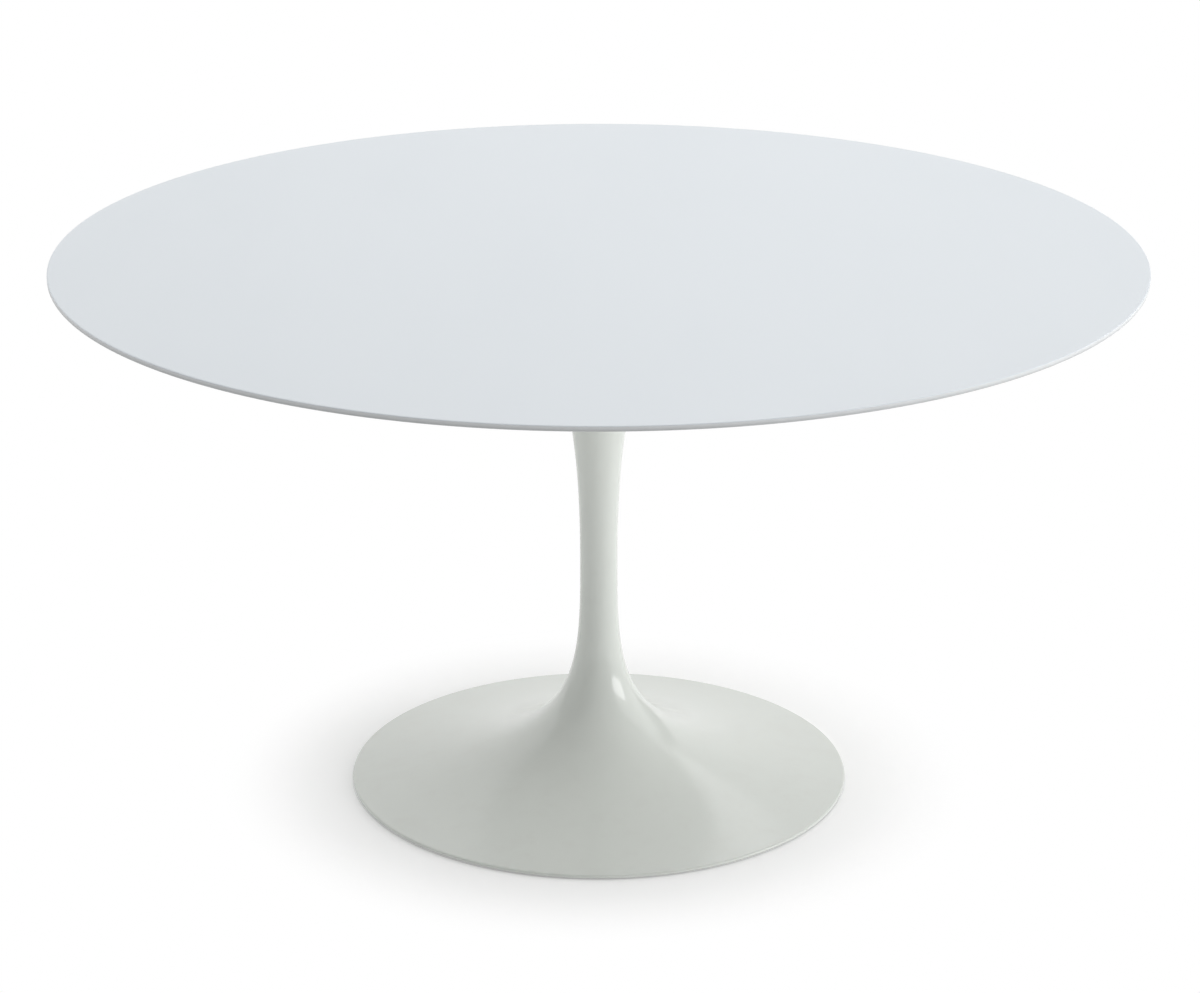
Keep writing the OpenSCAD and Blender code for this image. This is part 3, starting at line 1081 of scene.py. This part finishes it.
@dataclass(frozen=True)
class TableTop:
    """The disc that one eats at: laminate on a bevelled board, balanced below."""

    face_ease: float = 2.0 * MM
    edge_height: float = 5.5 * MM
    edge_round: float = 1.5 * MM
    insert_count: int = 8
    insert_radius: float = 6 * MM
    insert_bore: float = 4.05 * MM
    insert_pitch: float = 1.5 * MM
    fit: float = 0.05 * MM
    clear: float = 0.2 * MM

    def build(self) -> None:
        """Builds the laminate, the board, the balancing sheet and the inserts."""
        self.laminate()
        self.board()
        self.balancing_sheet()
        self.inserts()

    @property
    def circle(self) -> Circle:
        """The circle of the inserts."""
        return Circle(self.insert_count, Extent.of("threaded_inserts").radius - self.insert_radius)

    def laminate(self) -> None:
        """The face, whose arris is eased over the edge of the board."""
        face = Extent.of("top_laminate")
        shoulder = face.radius - self.face_ease
        outline = Outline(0, face.bottom).line(face.radius, face.bottom).curve(
            (face.radius, face.bottom + QUARTER_BEND * face.height),
            (shoulder + QUARTER_BEND * self.face_ease, face.top),
            (shoulder, face.top), 8)
        outline.line(0, face.top)
        Workpiece.turned(outline).delivered("laminate_face", "top_laminate", LAMINATE)

    def board(self) -> None:
        """The core: an upright edge, a small round under it, and the long bevel."""
        core, insert = Extent.of("top_core"), Extent.of("threaded_inserts")
        flat = Extent.of("backer_sheet").radius
        outline = Outline(0, core.bottom).line(flat, core.bottom, self.clear)
        outline.line(core.radius, core.top - self.edge_height, self.edge_round)
        outline.line(core.radius, core.top).line(0, core.top)
        board = self.circle.drilled(Workpiece.turned(outline), self.insert_radius + self.fit,
                                    core.bottom - MM, insert.top + 0.5 * MM)
        board.delivered("bevelled_board", "top_core", LACQUER)

    def balancing_sheet(self) -> None:
        """The sheet under the board, with a clear hole round each insert."""
        sheet = Extent.of("backer_sheet")
        outline = Outline(0, sheet.bottom).line(sheet.radius, sheet.bottom, self.clear)
        outline.line(sheet.radius, sheet.top).line(0, sheet.top)
        blank = self.circle.drilled(Workpiece.turned(outline), self.insert_radius + self.clear,
                                    sheet.bottom - MM, sheet.top + MM)
        blank.delivered("balancing_sheet", "backer_sheet", BACKING)

    def inserts(self) -> None:
        """Brass inserts with a coarse outer thread and a plain bore."""
        insert = Extent.of("threaded_inserts")
        lead = 0.5 * MM
        body = Workpiece.ring(self.insert_radius - 0.6 * self.insert_pitch, self.insert_bore,
                              insert.bottom, insert.top, lead)
        ridge = Workpiece.thread(self.insert_radius, self.insert_pitch, insert.bottom + lead,
                                 insert.top - lead)
        self.circle.placed(body.carved(ridge, Carve.JOIN)).delivered(
            "brass_inserts", "threaded_inserts", BRASS)


@dataclass(frozen=True)
class TopFixing:
    """What bolts the top to the pedestal: plate, screws, boss, pins and gasket."""

    screw_count: int = 8
    screw_hole: float = 4.5 * MM
    plate_chamfer: float = 1.5 * MM
    spigot_radius: float = 13 * MM
    pin_radius: float = 4 * MM
    pin_count: int = 2
    fit: float = 0.05 * MM
    clear: float = 0.2 * MM
    gasket_bore: float = 56 * MM

    def build(self) -> None:
        """Builds the plate, its fasteners, the boss, the pins and the gasket."""
        self.plate()
        self.fasteners()
        self.boss()
        self.pins()
        self.gasket()

    @property
    def screws(self) -> Circle:
        """The circle of the plate's screws."""
        return Circle(self.screw_count, Extent.of("plate_washers").radius - PLATE_THREAD.diameter)

    @property
    def pin_circle(self) -> Circle:
        """The circle of the locating pins."""
        return Circle(self.pin_count, Extent.of("locating_pins").radius - self.pin_radius)

    def plate(self) -> None:
        """The steel plate, chamfered below, bored for the spigot and drilled."""
        plate = Extent.of("mounting_plate")
        low, high = plate.bottom - MM, plate.top + MM
        bore = self.spigot_radius + self.fit
        outline = Outline(bore, plate.bottom)
        outline.line(plate.radius - self.plate_chamfer, plate.bottom, DEBURR)
        outline.line(plate.radius, plate.bottom + self.plate_chamfer, DEBURR)
        outline.line(plate.radius, plate.top, DEBURR).line(bore, plate.top)
        work = self.screws.drilled(Workpiece.turned(outline, closed=True), self.screw_hole, low, high)
        self.pin_circle.drilled(work, self.pin_radius + self.fit, low, high).delivered(
            "fixing_plate", "mounting_plate", PLATE_PAINT)

    def fasteners(self) -> None:
        """The button-head screws and the washers under their heads."""
        washer, screw = Extent.of("plate_washers"), Extent.of("plate_screws")
        self.screws.placed(PLATE_THREAD.button_screw(washer.bottom, screw.top)).delivered(
            "button_screws", "plate_screws", ZINC)
        self.screws.placed(PLATE_THREAD.washer(washer.bottom, washer.top)).delivered(
            "screw_washers", "plate_washers", ZINC)

    def boss(self) -> None:
        """The threaded boss, whose spigot sits in the plate."""
        boss, plate = Extent.of("rod_boss"), Extent.of("mounting_plate")
        bore = ROD_THREAD.radius + self.fit
        outline = Outline(bore, boss.bottom + MM).line(bore + MM, boss.bottom)
        outline.line(boss.radius, boss.bottom, 1.2 * MM).line(boss.radius, plate.bottom)
        outline.line(self.spigot_radius, plate.bottom).line(self.spigot_radius, boss.top, 0.5 * MM)
        outline.line(bore + MM, boss.top).line(bore, boss.top - MM)
        blank = Workpiece.turned(outline, closed=True, steps=MIDDLE_STEPS)
        blank.delivered("spigot_boss", "rod_boss", TURNED_STEEL)

    def pins(self) -> None:
        """The pins, with a lead at each end."""
        pin = Extent.of("locating_pins")
        blank = Workpiece.ring(self.pin_radius, 0, pin.bottom, pin.top, 0.7 * MM)
        self.pin_circle.placed(blank).delivered("dowel_pins", "locating_pins", TURNED_STEEL)

    def gasket(self) -> None:
        """The gasket, punched for the pins, with edges that bulge a little under load."""
        gasket = Extent.of("neck_gasket")
        blank = Workpiece.ring(gasket.radius, self.gasket_bore, gasket.bottom, gasket.top, 0.4 * MM,
                               ROUND_STEPS)
        self.pin_circle.drilled(blank, self.pin_radius + self.clear, gasket.bottom - MM,
                                gasket.top + MM).delivered("neck_seal", "neck_gasket", RUBBER)


@dataclass(frozen=True)
class Pedestal:
    """The hollow casting: neck, stem and foot in one shell, with its web, flange and pads."""

    neck_radius: float = 88 * MM
    neck_flare: Point = (46 * MM, 145 * MM)
    waist_radius: float = 24.5 * MM
    waist_height: float = 305 * MM
    shank_below: float = 180 * MM
    shank_above: float = 170 * MM
    foot_crown: float = 38 * MM
    rim_height: float = 6 * MM
    rim_round: float = 2 * MM
    rim_chamfer: float = 0.5 * MM
    wall: float = 6 * MM
    land_width: float = 30 * MM
    web: Point = (118 * MM, 130 * MM)
    web_bore: float = 8.5 * MM
    flange: float = 10 * MM
    flange_bore: float = 55 * MM
    neck_steps: int = 64
    foot_steps: int = 108
    ballast_pad: float = 12 * MM
    ballast_pad_thread: float = 10 * MM
    cover_pad: float = 6 * MM
    fit: float = 0.05 * MM

    def flank(self) -> list[Vector]:
        """The outer surface from the neck down to the rim.

        Returns:
            Its points, walked downwards.
        """
        casting = Extent.of("pedestal_casting")
        flare_width, flare_height = self.neck_flare
        outline = Outline(self.neck_radius, casting.top)
        outline.curve((self.neck_radius - flare_width, casting.top - flare_height),
                      (self.waist_radius, self.waist_height + self.shank_above),
                      (self.waist_radius, self.waist_height), self.neck_steps)
        outline.curve((self.waist_radius, self.waist_height - self.shank_below),
                      (self.waist_radius, self.foot_crown),
                      (casting.radius - self.rim_round, self.rim_height), self.foot_steps)
        return outline.points

    def section(self) -> Outline:
        """The whole closed section: down the outside, round the rim, and up the inside.

        Returns:
            The section.
        """
        casting = Extent.of("pedestal_casting")
        outer = self.flank()
        inner = [point for point in sunk(outer, self.wall) if point.x < casting.radius - self.land_width]
        outline = Outline(outer[0].x, outer[0].z).follow(outer[1:])
        rim_centre = (casting.radius - self.rim_round, self.rim_height - self.rim_round)
        outline.arc(rim_centre, self.rim_round, 84, 0, 8)
        outline.line(casting.radius, casting.bottom + self.rim_chamfer)
        outline.line(casting.radius - self.rim_chamfer, casting.bottom)
        outline.line(inner[-1].x, casting.bottom)
        ceiling = casting.top - self.flange
        web_bottom, web_top = self.web
        outline.follow([point for point in reversed(inner) if point.z < web_bottom])
        outline.line(radius_at(inner, web_bottom), web_bottom).line(self.web_bore, web_bottom)
        outline.line(self.web_bore, web_top).line(radius_at(inner, web_top), web_top)
        outline.follow([point for point in reversed(inner) if web_top < point.z < ceiling])
        outline.line(radius_at(inner, ceiling), ceiling).line(self.flange_bore, ceiling)
        outline.line(self.flange_bore, casting.top)
        return outline

    def build(self) -> None:
        """Builds the casting, with every pad and hole that its neighbours need."""
        work = Workpiece.turned(self.section(), closed=True)
        bolt, screw = Extent.of("ballast_bolts"), Extent.of("cover_screws")
        cover, pins = Extent.of("underside_cover"), Extent.of("locating_pins")
        glides = Extent.of("foot_glides")
        pad_bottom = bolt.top - self.ballast_pad_thread
        work = self.padded(work, Ballast.circle(), self.ballast_pad, pad_bottom)
        work = self.padded(work, Underside().screw_circle, self.cover_pad, cover.top)
        work = Ballast.circle().drilled(work, BALLAST_THREAD.radius + self.fit, pad_bottom - MM,
                                        bolt.top + MM)
        work = Underside().screw_circle.drilled(work, COVER_THREAD.radius + self.fit, cover.top - MM,
                                                screw.top + 0.5 * MM)
        work = Underside().glide_circle.drilled(work, Underside.glide_stem + self.fit, glides.bottom,
                                                glides.top + 0.2 * MM)
        work = TopFixing().pin_circle.drilled(work, TopFixing.pin_radius + self.fit,
                                              pins.bottom - 0.5 * MM,
                                              Extent.of("pedestal_casting").top + MM)
        self.mark_bare(work.delivered("pedestal_shell", "pedestal_casting", COAT))

    def padded(self, work: Workpiece, circle: Circle, radius: float, bottom: float) -> Workpiece:
        """Casts a circle of pads on the inside of the foot.

        Args:
            work: The casting.
            circle: Where they are.
            radius: The radius of each.
            bottom: The height of their lower faces.

        Returns:
            The casting.
        """
        skin = sunk(self.flank(), self.wall / 2)
        below = Outline(0, skin[0].z).follow(skin).line(0, skin[-1].z)
        pads = circle.placed(Workpiece.ring(radius, 0, bottom, self.waist_height))
        return work.carved(pads.carved(Workpiece.turned(below), Carve.KEEP), Carve.JOIN)

    def mark_bare(self, piece: bpy.types.Object) -> None:
        """Marks every face that the coating doesn't reach.

        Args:
            piece: The finished casting.
        """
        outer = self.flank()
        mark = piece.data.attributes.new(BARE_MARK, "FLOAT", "FACE")
        bare = []
        for face in piece.data.polygons:
            reach = math.hypot(face.center.x, face.center.y)
            shown = face.center.z < self.rim_height and reach > outer[-1].x
            bare.append(0.0 if shown or reach > radius_at(outer, face.center.z) - MM else 1.0)
        mark.data.foreach_set("value", bare)


@dataclass(frozen=True)
class TieRod:
    """The rod that clamps the top to the casting, with its nuts and washers."""

    across: float = 24 * MM
    thread_length: float = 62 * MM
    rod_chamfer: float = 1.5 * MM
    split: float = 2 * MM
    shank_clear: float = 0.5 * MM
    slip: float = 0.2 * MM

    def build(self) -> None:
        """Builds the rod and everything threaded on it."""
        self.rod()
        for name, node in (("lock_nut", "rod_lock_nut"), ("main_nut", "clamp_nut")):
            nut = Extent.of(node)
            ROD_THREAD.nut(self.across, nut.bottom, nut.top).delivered(name, node, ZINC)
        washer = Extent.of("clamp_washer")
        Workpiece.ring(washer.radius, ROD_THREAD.radius + self.shank_clear, washer.bottom, washer.top,
                       0.8 * MM, MIDDLE_STEPS).delivered("thick_washer", "clamp_washer", ZINC)
        self.spring_washer()

    def rod(self) -> None:
        """The rod: a plain shank between two threaded ends."""
        rod = Extent.of("tie_rod")
        core, full = ROD_THREAD.core, ROD_THREAD.radius
        lower, upper = rod.bottom + self.thread_length, rod.top - self.thread_length
        step = full - core
        outline = Outline(0, rod.bottom).line(core - self.rod_chamfer / 2, rod.bottom)
        outline.line(core, rod.bottom + self.rod_chamfer).line(core, lower).line(full, lower + step)
        outline.line(full, upper - step).line(core, upper).line(core, rod.top - self.rod_chamfer)
        outline.line(core - self.rod_chamfer / 2, rod.top).line(0, rod.top)
        work = Workpiece.turned(outline, steps=SMALL_STEPS)
        for bottom, top in ((rod.bottom + self.rod_chamfer, lower), (upper, rod.top - self.rod_chamfer)):
            work = work.carved(Workpiece.thread(full, ROD_THREAD.pitch, bottom, top), Carve.JOIN)
        work.delivered("long_rod", "tie_rod", ZINC)

    def spring_washer(self) -> None:
        """The spring washer, split across and pressed flat."""
        washer = Extent.of("spring_washer")
        bore = ROD_THREAD.radius + self.slip
        gap = self.split / (math.tau * (bore + washer.radius) / 2)
        section = [(bore, washer.bottom), (washer.radius, washer.bottom),
                   (washer.radius, washer.top), (bore, washer.top)]
        work = Workpiece.wound(section, 1 - gap)
        rims = [edge for edge in work.mesh.edges if edge.calc_face_angle(0) > SMOOTH_ANGLE]
        bmesh.ops.bevel(work.mesh, geom=rims, offset=0.25 * MM, offset_type="OFFSET", segments=2,
                        profile=0.5, affect="EDGES", clamp_overlap=True, material=-1)
        turn = Matrix.Rotation(math.tau * gap / 2, 4, "Z")
        bmesh.ops.transform(work.mesh, matrix=turn, verts=work.mesh.verts[:])
        work.delivered("split_washer", "spring_washer", TURNED_STEEL)


@dataclass(frozen=True)
class Ballast:
    """The cast-iron weight in the foot, with its bolts."""

    pedestal: Pedestal
    bore: float = 75 * MM
    gap: float = 2 * MM
    bolt_count: int = 4
    first_bolt: float = 45
    head_room: float = 8.5 * MM
    shank_clear: float = 0.5 * MM
    corner: float = 2 * MM

    @staticmethod
    def circle() -> Circle:
        """The circle of the ballast's bolts, which stand between the cover's screws."""
        middle = (Ballast.bore + Extent.of("ballast_ring").radius) / 2
        return Circle(Ballast.bolt_count, middle, Ballast.first_bolt)

    def build(self) -> None:
        """Builds the ring, its bolts and their washers."""
        ring, bolt = Extent.of("ballast_ring"), Extent.of("ballast_bolts")
        washer = Extent.of("ballast_washers")
        roof = [point for point in sunk(self.pedestal.flank(), self.pedestal.wall + self.gap)
                if point.z < self.pedestal.waist_height and self.bore < point.x < ring.radius]
        outline = Outline(self.bore, ring.top).follow(roof)
        outline.line(ring.radius, roof[-1].z, self.corner).line(ring.radius, ring.bottom, self.corner)
        outline.line(self.bore, ring.bottom, self.corner)
        work = Workpiece.turned(outline, closed=True)
        pad_bottom = bolt.top - self.pedestal.ballast_pad_thread
        holes = (
            (self.head_room, ring.bottom - MM, washer.top),
            (BALLAST_THREAD.radius + self.shank_clear, ring.bottom, ring.top + MM),
            (self.pedestal.ballast_pad + self.gap, pad_bottom, ring.top + MM),
        )
        for radius, bottom, top in holes:
            work = self.circle().drilled(work, radius, bottom, top)
        work.delivered("iron_weight", "ballast_ring", IRON)
        self.circle().placed(BALLAST_THREAD.bolt(washer.bottom, bolt.top)).delivered(
            "weight_bolts", "ballast_bolts", ZINC)
        self.circle().placed(BALLAST_THREAD.washer(washer.bottom, washer.top)).delivered(
            "weight_washers", "ballast_washers", ZINC)


@dataclass(frozen=True)
class Underside:
    """What closes the foot and carries it: cover, screws, cap and glides."""

    access: float = 32 * MM
    screw_count: int = 6
    screw_hole: float = 2.2 * MM
    cap_wall: float = 1.6 * MM
    skirt_radius: float = 31.8 * MM
    glide_count: int = 8
    glide_radius: float = 10 * MM
    glide_stem: float = 3 * MM

    @property
    def screw_circle(self) -> Circle:
        """The circle of the cover's screws."""
        head = BUTTON_REACH * COVER_THREAD.diameter
        return Circle(self.screw_count, Extent.of("cover_screws").radius - head)

    @property
    def glide_circle(self) -> Circle:
        """The circle of the glides."""
        return Circle(self.glide_count, Extent.of("foot_glides").radius - self.glide_radius)

    def build(self) -> None:
        """Builds the cover, its screws, the cap and the glides."""
        cover, screw = Extent.of("underside_cover"), Extent.of("cover_screws")
        sheet = Workpiece.ring(cover.radius, self.access, cover.bottom, cover.top, DEBURR, ROUND_STEPS)
        self.screw_circle.drilled(sheet, self.screw_hole, cover.bottom - MM, cover.top + MM).delivered(
            "sheet_cover", "underside_cover", COVER_PAINT)
        self.screw_circle.placed(COVER_THREAD.button_screw(cover.bottom, screw.top)).delivered(
            "cover_button_screws", "cover_screws", ZINC)
        self.cap(cover)
        self.glides()

    def cap(self, cover: Extent) -> None:
        """The push-in cap, with a skirt inside the cover's hole.

        Args:
            cover: The extent of the cover.
        """
        cap = Extent.of("access_cap")
        inner = self.skirt_radius - self.cap_wall
        outline = Outline(0, cap.bottom).line(cap.radius, cap.bottom, 0.8 * MM)
        outline.line(cap.radius, cover.bottom).line(self.skirt_radius, cover.bottom)
        outline.line(self.skirt_radius, cap.top, 0.5 * MM).line(inner, cap.top, DEBURR)
        outline.line(inner, cover.bottom, 0.5 * MM).line(0, cover.bottom)
        blank = Workpiece.turned(outline, steps=MIDDLE_STEPS)
        blank.delivered("push_cap", "access_cap", CAP_PLASTIC)

    def glides(self) -> None:
        """The nail-in glides, with rounded treads."""
        glide, land = Extent.of("foot_glides"), Extent.of("pedestal_casting").bottom
        outline = Outline(0, glide.bottom).line(self.glide_radius, glide.bottom, 0.9 * MM)
        outline.line(self.glide_radius, land, 0.2 * MM).line(self.glide_stem, land)
        outline.line(self.glide_stem, glide.top, 0.6 * MM).line(0, glide.top)
        self.glide_circle.placed(Workpiece.turned(outline, steps=SMALL_STEPS)).delivered(
            "nylon_glides", "foot_glides", NYLON)


# -------------------------------------------------------------------- studio


@dataclass(frozen=True)
class SoftBox:
    """A rectangular soft light that faces a point on the table's axis."""

    name: str
    azimuth: float
    elevation: float
    size: tuple[float, float]
    power: float
    distance: float = 6.0
    aim: float = 0.3

    def build(self) -> None:
        """Hangs the light, clockwise from the back by its azimuth, and out of the camera's sight."""
        data = bpy.data.lights.new(self.name, "AREA")
        data.shape = "RECTANGLE"
        data.size, data.size_y = self.size
        data.energy = self.power
        lamp = bpy.data.objects.new(self.name, data)
        away = Vector((0, self.distance, 0))
        away.rotate(Euler((math.radians(self.elevation), 0, -math.radians(self.azimuth))))
        lamp.location = away + Vector((0, 0, self.aim))
        lamp.rotation_euler = away.to_track_quat("Z", "Y").to_euler()
        lamp.visible_camera = False
        bpy.context.scene.collection.objects.link(lamp)
        log.info("light %s: %.0f W", self.name, self.power)


@dataclass(frozen=True)
class FloorPaint(Finish):
    """Matt white paint that glows a little."""

    glow: float = 0.17

    def mixed_up(self, shader: Shader) -> bpy.types.Material:
        """Builds the material.

        Args:
            shader: The empty tree of the finish.

        Returns:
            The material.
        """
        return shader.surface(Base_Color=self.colour, Roughness=0.9, Specular_IOR_Level=0.0,
                              Emission_Color=(1.0, 1.0, 1.0), Emission_Strength=self.glow)


@dataclass(frozen=True)
class EvenLight(Finish):
    """Even light, which may fade in with the distance from the middle of the floor."""

    fades_from: float = 0.0
    fades_to: float = 0.0

    def mixed_up(self, shader: Shader) -> bpy.types.Material:
        """Builds the material.

        Args:
            shader: The empty tree of the finish.

        Returns:
            The material.
        """
        share = shader.reach().rising(self.fades_from, self.fades_to) if self.fades_to else 1.0
        made = shader.surface(Base_Color=(0.0, 0.0, 0.0), Specular_IOR_Level=0.0, Alpha=share,
                              Emission_Color=self.colour, Emission_Strength=1.0)
        made.cycles.emission_sampling = "NONE"
        return made


@dataclass(frozen=True)
class Studio:
    """A white floor under soft light inside a white dome, and the camera."""

    camera_place: tuple[float, float, float] = (0.0015, -4.172, 1.8886)
    camera_tilt: float = 19.76
    camera_lens: float = 102.6
    floor_radius: float = 12.0
    sweep_lift: float = 0.2 * MM
    sweep_fade: tuple[float, float] = (0.29, 0.5)
    dome_radius: float = 30.0
    sky: float = 0.25
    boxes: tuple[SoftBox, ...] = (
        SoftBox("overhead", 0, 89, (4.0, 4.0), 42, 3.5),
        SoftBox("key", 110, 13, (1.9, 0.75), 22, 3.0, 0.14),
        SoftBox("back", -15, 24, (12.0, 6.0), 180),
        SoftBox("high_back", 34, 50, (5.0, 3.0), 38, 5.0),
        SoftBox("right", 85, 18, (8.5, 4.0), 98),
        SoftBox("left", -90, 18, (6.2, 4.0), 20),
        SoftBox("front", 180, 45, (5.0, 3.0), 14, 5.0),
    )

    def build(self) -> None:
        """Sets up the floor, the light and the camera."""
        scene = bpy.context.scene
        scene.view_settings.view_transform = "Standard"
        scene.view_settings.look = "None"
        world = bpy.data.worlds.new("soft_sky")
        world.use_nodes = True
        backdrop = world.node_tree.nodes["Background"]
        backdrop.inputs["Color"].default_value = (1.0, 1.0, 1.0, 1.0)
        backdrop.inputs["Strength"].default_value = self.sky
        scene.world = world
        for box in self.boxes:
            box.build()
        self.floor()
        self.surround()
        self.camera()

    def floor(self) -> None:
        """Lays the plain pale floor, which the table stands on."""
        paint = FloorPaint("floor_paint", (0.92, 0.92, 0.92))
        self.staged("studio_floor", self.disc(self.floor_radius, 0.0), paint)

    def surround(self) -> None:
        """Lays a white sweep over the outer floor and a dome over it all; neither lights anything."""
        white = (1.0, 1.0, 1.0)
        dome = bmesh.new()
        bmesh.ops.create_uvsphere(dome, u_segments=SMALL_STEPS, v_segments=SMALL_STEPS // 2,
                                  radius=self.dome_radius)
        bmesh.ops.reverse_faces(dome, faces=dome.faces[:])
        sweep = self.disc(self.dome_radius, self.sweep_lift)
        sweep_light = EvenLight("sweep_light", white, *self.sweep_fade)
        for made in (self.staged("studio_dome", dome, EvenLight("dome_light", white)),
                     self.staged("studio_sweep", sweep, sweep_light)):
            for ray in ("diffuse", "glossy", "transmission", "volume_scatter", "shadow"):
                setattr(made, f"visible_{ray}", False)

    def disc(self, radius: float, lift: float) -> bmesh.types.BMesh:
        """A flat disc on or just over the floor.

        Args:
            radius: Its radius.
            lift: How far over the floor it lies.

        Returns:
            Its mesh.
        """
        low, _ = cad_box
        mesh = bmesh.new()
        bmesh.ops.create_circle(mesh, cap_ends=True, segments=MIDDLE_STEPS, radius=radius,
                                matrix=Matrix.Translation((0, 0, low.z + lift)))
        return mesh

    def staged(self, name: str, mesh: bmesh.types.BMesh, finish: Finish) -> bpy.types.Object:
        """Puts a mesh on the stage, as no part of the table.

        Args:
            name: The object's name.
            mesh: The mesh, which is used up.
            finish: What it is finished in.

        Returns:
            The object.
        """
        data = bpy.data.meshes.new(name)
        mesh.to_mesh(data)
        mesh.free()
        data.materials.append(finish.material())
        made = bpy.data.objects.new(name, data)
        bpy.context.scene.collection.objects.link(made)
        return made

    def camera(self) -> None:
        """Stands the camera in front of the table, looking a little down."""
        data = bpy.data.cameras.new("camera")
        data.sensor_fit = "HORIZONTAL"
        data.sensor_width = 36.0
        data.lens = self.camera_lens
        data.clip_end = 80.0
        camera = bpy.data.objects.new("camera", data)
        camera.location = self.camera_place
        camera.rotation_euler = (math.radians(90 - self.camera_tilt), 0, 0)
        bpy.context.scene.collection.objects.link(camera)
        bpy.context.scene.camera = camera


def main() -> None:
    """Builds the studio and every sub-assembly in order."""
    Studio().build()
    pedestal = Pedestal()
    for assembly in (TableTop(), TopFixing(), pedestal, TieRod(), Ballast(pedestal), Underside()):
        log.info("building %s", type(assembly).__name__)
        assembly.build()


if __name__ == "__main__":
    main()
